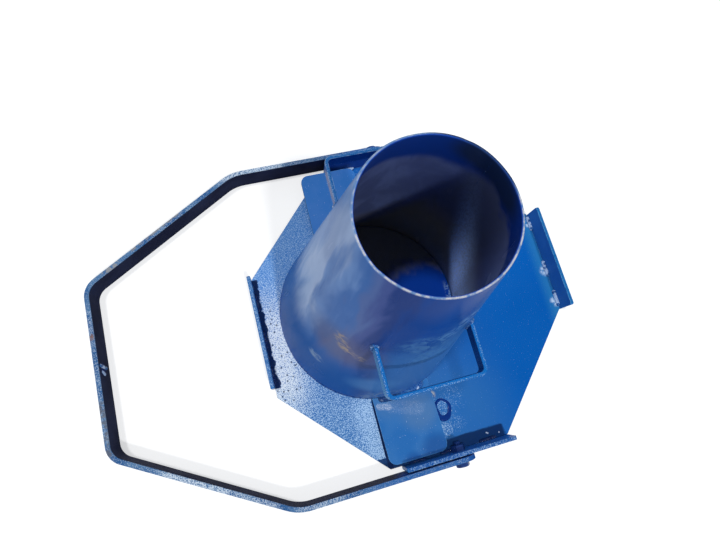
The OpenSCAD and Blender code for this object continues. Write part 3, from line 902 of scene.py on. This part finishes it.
rings, marks = cone_rings()
show(ring_skin("rolled_cone", rings, True, marks), cone_enamel, "cone", "cone_paint", "cone_shell")

# %% [markdown]
# ## Pivot bolts with threads
# The bail turns on two hexagon bolts, and the last turns of thread show past the nuts. A bolt
# is a stack of rings too: the radius follows a thread wave at the end, stays round along the
# shank, and takes the six sided shape with a chamfer at the head.

# %% Pivot bolts
BOLT_R, THREAD_R, THREAD_PITCH = 4.0, 3.45, 1.25
BOLT_END, NUT_FACE, HEAD_UNDER, HEAD_TOP = -9.5, 0.0, 11.2, 16.499
HEX_HALF, CHAMFER_R, CHAMFER_LEAN = 6.5, 6.24, math.radians(30)
PIVOT_Y, PIVOT_Z = 175.0, 15.0
BOLT_AROUND, PER_PITCH, THREAD_ROWS = 96, 8, 61


def thread_radius(turn, along):
    phase = (along / THREAD_PITCH - turn / (2 * math.pi)) % 1.0
    wave = 1 - abs(2 * phase - 1)
    tip = min(1.0, max(0.0, along - BOLT_END))
    return THREAD_R - 0.35 * (1 - tip) + (BOLT_R - THREAD_R) * wave * tip


def head_radius(turn, along):
    flat = HEX_HALF / math.cos((turn % (math.pi / 3)) - math.pi / 6)
    cone = CHAMFER_R + (HEAD_TOP - along) / math.tan(CHAMFER_LEAN)
    return min(flat, cone)


def bolt_rings():
    head = HEAD_TOP - HEAD_UNDER
    rows = [(BOLT_END + k * THREAD_PITCH / PER_PITCH, thread_radius) for k in range(THREAD_ROWS)]
    rows += [(NUT_FACE + 0.2, lambda turn, along: BOLT_R), (HEAD_UNDER, lambda turn, along: BOLT_R)]
    rows += [(HEAD_UNDER, lambda turn, along: HEX_HALF - 0.2), (HEAD_UNDER + 0.15, head_radius)]
    rows += [(HEAD_UNDER + share * head, head_radius) for share in (0.7, 0.86, 0.92, 0.96, 1.0)]
    rows += [(HEAD_TOP, lambda turn, along: CHAMFER_R - 0.3)]
    turns = [2 * math.pi * k / BOLT_AROUND for k in range(BOLT_AROUND)]
    return [[(radius(t, along) * math.cos(t), radius(t, along) * math.sin(t), along) for t in turns]
            for along, radius in rows]


for side, sign in (("front", -1), ("rear", 1)):
    rings = [[(-sign * x, sign * (PIVOT_Y + z), PIVOT_Z + y) for x, y, z in ring]
             for ring in bolt_rings()]
    bolt = ring_skin(side + "_threaded_bolt", rings, False)
    bolt.data.set_sharp_from_angle(angle=math.radians(40))
    show(bolt, bolt_enamel, "base", "bolt_paint", side + "_pivot_bolt")

# %% [markdown]
# ## Weld beads
# Hand laid beads hold everything together: stitches inside the flanges, fillets on the foot
# pieces, collars round the handle legs, the long seam of the rolled sheet, and a join in the
# bail's crossbar. A bead follows a path, so Geometry Nodes make it: a tube whose radius beats
# with the welder's hand, swells and rounds off at its ends, and gets a little noise. The paths
# are plain edges that carry their own radius, one mesh for each body.

# %% Bead tree
BEAD_STEP, BEAD_BLUNT, BEAD_AROUND, BEAD_GRAIN = 0.45 * MM, 0.3 * MM, 14, 420.0


def bead_swell(tree, given, radius):
    """How thick the bead is at each point, as a share of its radius."""
    def times(first, second):
        return math_node(tree, "MULTIPLY", first, second)

    def one_less(value):
        return math_node(tree, "SUBTRACT", 1.0, value)

    gone = add_node(tree, "GeometryNodeSplineParameter").outputs["Length"]
    whole = add_node(tree, "GeometryNodeSplineLength").outputs["Length"]
    open_end = add_node(tree, "GeometryNodeInputNamedAttribute", {"Name": "open_end"}).outputs[0]
    beat = math_node(tree, "FRACT", math_node(tree, "DIVIDE", gone, given["Ripple pitch"]))
    ripple = times(times(beat, beat), given["Ripple depth"])
    to_end = math_node(tree, "MINIMUM", gone, math_node(tree, "SUBTRACT", whole, gone))
    share = math_node(tree, "DIVIDE", math_node(tree, "ADD", to_end, BEAD_BLUNT), radius, clamp=True)
    back = one_less(share)
    dome = math_node(tree, "SQRT", one_less(times(back, back)))
    loss = times(one_less(dome), open_end)
    return times(one_less(ripple), one_less(loss))


def weld_tree(finish):
    tree = bpy.data.node_groups.new("rippled_weld", "GeometryNodeTree")
    sockets = tree.interface
    sockets.new_socket("Path", in_out="INPUT", socket_type="NodeSocketGeometry")
    for label in ("Ripple pitch", "Ripple depth", "Lump height", "Seed"):
        sockets.new_socket(label, in_out="INPUT", socket_type="NodeSocketFloat")
    sockets.new_socket("Bead", in_out="OUTPUT", socket_type="NodeSocketGeometry")
    given = add_node(tree, "NodeGroupInput").outputs
    radius = add_node(tree, "GeometryNodeInputNamedAttribute", {"Name": "bead_radius"}).outputs[0]
    curve = add_node(tree, "GeometryNodeMeshToCurve", {"Mesh": given["Path"]}).outputs[0]
    fine = add_node(tree, "GeometryNodeResampleCurve", {"Curve": curve, "Length": BEAD_STEP},
                    mode="LENGTH")
    ring = add_node(tree, "GeometryNodeCurvePrimitiveCircle", {"Resolution": BEAD_AROUND, "Radius": 1.0})
    tube = add_node(tree, "GeometryNodeCurveToMesh",
                    {"Curve": fine.outputs[0], "Profile Curve": ring.outputs["Curve"], "Fill Caps": True,
                     "Scale": math_node(tree, "MULTIPLY", bead_swell(tree, given, radius), radius)})
    grain = add_node(tree, "ShaderNodeTexNoise", {"Scale": BEAD_GRAIN, "W": given["Seed"]},
                     noise_dimensions="4D").outputs[0]
    push = math_node(tree, "MULTIPLY", math_node(tree, "SUBTRACT", grain, 0.5), given["Lump height"])
    normal = add_node(tree, "GeometryNodeInputNormal").outputs[0]
    offset = add_node(tree, "ShaderNodeVectorMath", {0: normal, "Scale": push}, operation="SCALE")
    made = tube.outputs[0]
    for kind, inputs in (("SetPosition", {"Offset": offset.outputs[0]}), ("SetShadeSmooth", {}),
                         ("RealizeInstances", {}), ("SetMaterial", {"Material": finish})):
        made = add_node(tree, "GeometryNode" + kind, {"Geometry": made, **inputs}).outputs[0]
    add_node(tree, "NodeGroupOutput", {"Bead": made})
    return tree


bead_tree = weld_tree(weld_enamel)

# %% Bead paths
# each path: its points, its bead's radius, and 1 if its ends are open
STITCH_BEAD, FOOT_BEAD, COLLAR_BEAD, SEAM_BEAD = 2.7, 4.1, 1.7, 1.5
FLANGE_RUN, STITCH, STITCH_OVER = 101.0, 17.0, 1.5
FLANGES = (
    (0, 0, (-0.44, -0.08, 0.38)), (90, 6, (-0.48, -0.1, 0.5)),
    (180, 0, (-0.42, -0.04, 0.34)), (-90, 0, (-0.34, 0.08, 0.48)))


def turned(point, degrees, about_x=0.0):
    x, y, z = point
    c, s = math.cos(math.radians(degrees)), math.sin(math.radians(degrees))
    return (about_x + x * c - y * s, x * s + y * c, z)


def stitch_paths():
    for turn, shift, shares in FLANGES:
        for share in shares:
            middle = shift + share * FLANGE_RUN
            ends = [middle - STITCH / 2 - STITCH_OVER, middle + STITCH / 2 + STITCH_OVER]
            yield [turned((x, -PIVOT_Y + 0.7, 4.7), turn) for x in ends], STITCH_BEAD, 1


FOOT_SHIFT, FOOT_HALF_RUN, FOOT_ROOT, FOOT_SLOPE = 9.0, 26.4, 91.75, math.radians(6)
HANDLE_LEG, HANDLE_RISE = 38.5, 190.0


def cone_paths():
    for turn in (0, 180):
        arc = []
        for k in range(25):
            x = FOOT_SHIFT + FOOT_HALF_RUN * (k / 12 - 1)
            y = math.sqrt((cone_radius(6) + 1.6) ** 2 - x * x)
            top = 4 / math.cos(FOOT_SLOPE) + (y - FOOT_ROOT) * math.tan(FOOT_SLOPE)
            arc.append(turned((x, -y, CONE_FOOT + top + 0.7), turn, CONE_X))
        yield arc, FOOT_BEAD, 1
        for leg in (-HANDLE_LEG, HANDLE_LEG):
            collar = []
            for k in range(24):
                lap = 2 * math.pi * k / 24
                x, rise = leg + 2.0 * math.cos(lap), HANDLE_RISE + 6.6 * math.sin(lap)
                y = math.sqrt(cone_radius(rise) ** 2 - x * x) + 0.2
                collar.append(turned((x, -y, CONE_FOOT + rise), turn, CONE_X))
            yield collar, COLLAR_BEAD, 0
    seam = [turned((cone_radius(h) - 0.45, 0, CONE_FOOT + h), SEAM_TURN, CONE_X)
            for h in (2.2, 150, 297.8)]
    yield seam, SEAM_BEAD, 1


def bail_paths():
    yield [(-339.5, 4.5, 27.0), (-339.5, 3.6, 18.0), (-339.5, 2.0, 9.0)], 2.0, 1
    yield [(-339.4, -1.5, 23.0), (-339.4, -5.0, 15.0)], 1.8, 1


# %% Beads on each body
LUMP = 0.7 * MM


def bead_piece(name, paths, pitch_mm, depth, seed):
    points, edges, radii, ends = [], [], [], []
    for path, radius, is_open in paths:
        first = len(points)
        points += [Vector(p) * MM for p in path]
        edges += [(first + k, first + k + 1) for k in range(len(path) - 1)]
        if not is_open:
            edges.append((len(points) - 1, first))
        radii += [radius * MM] * len(path)
        ends += [float(is_open)] * len(path)
    mesh = bpy.data.meshes.new(name + "_paths")
    mesh.from_pydata(points, edges, [])
    mark_points(mesh, "bead_radius", radii)
    mark_points(mesh, "open_end", ends)
    guide = new_piece(name + "_paths", mesh)
    bead = guide.modifiers.new("weld", "NODES")
    bead.node_group = bead_tree
    values = {"Ripple pitch": pitch_mm * MM, "Ripple depth": depth, "Lump height": LUMP, "Seed": seed}
    for item in bead_tree.interface.items_tree:
        if item.in_out == "INPUT" and item.name in values:
            bead[item.identifier] = values[item.name]
    depsgraph = bpy.context.evaluated_depsgraph_get()
    result = bpy.data.meshes.new_from_object(guide.evaluated_get(depsgraph), depsgraph=depsgraph)
    result.name = name
    guide.modifiers.remove(bead)
    bpy.data.objects.remove(guide)
    print(name, len(result.polygons), "faces")
    return new_piece(name, result)


show(bead_piece("flange_weld_beads", stitch_paths(), 2.1, 0.22, 3.0), weld_enamel, "base", "weld_paint",
     "front_flange_welds", "right_flange_welds", "rear_flange_welds", "left_flange_welds")
show(bead_piece("cone_weld_beads", cone_paths(), 2.1, 0.22, 8.0), weld_enamel, "cone", "weld_paint",
     "cone_seam_weld", "front_handle_welds", "rear_handle_welds", "front_foot_weld", "rear_foot_weld")
show(bead_piece("crossbar_weld_beads", bail_paths(), 1.8, 0.25, 5.0), weld_enamel, "bail", "weld_paint")

# %% [markdown]
# ## The ring of thick paint
# A pool of paint dried in a ring beside the front foot piece. It is a low ridge, wider towards
# the right, so it is made as a small looped skin: two ellipses with a crown between them.

# %% Ring of thick paint
RING_AT, RING_SIZE, RING_AROUND = (-1.5, -130.6), (10.0, 12.6), 72
RING_HOLE, HOLE_SHIFT = (5.8, 8.0), (0.4, 1.9)
RIDGE = ((0.0, 3.7), (0.0, 4.02), (0.18, 4.3), (0.5, 4.45), (0.82, 4.3), (1.0, 4.02), (1.0, 3.7))


def ridge_point(turn, share):
    compass = (math.cos(turn), math.sin(turn))
    wobble = 0.35 * math.sin(3 * turn + 0.5) + 0.25 * math.sin(5 * turn)
    point = []
    for centre, size, shift, hole, way in zip(RING_AT, RING_SIZE, HOLE_SHIFT, RING_HOLE, compass):
        outer, inner = centre + size * way, centre + shift + hole * way
        point.append(outer + (inner - outer) * share + wobble * way)
    return point


turns = [2 * math.pi * k / RING_AROUND for k in range(RING_AROUND)]
rings = [[(*ridge_point(turn, share), height) for turn in turns] for share, height in RIDGE]
show(ring_skin("thick_paint_ring", rings, True), thick_paint, "base", "plate_paint")
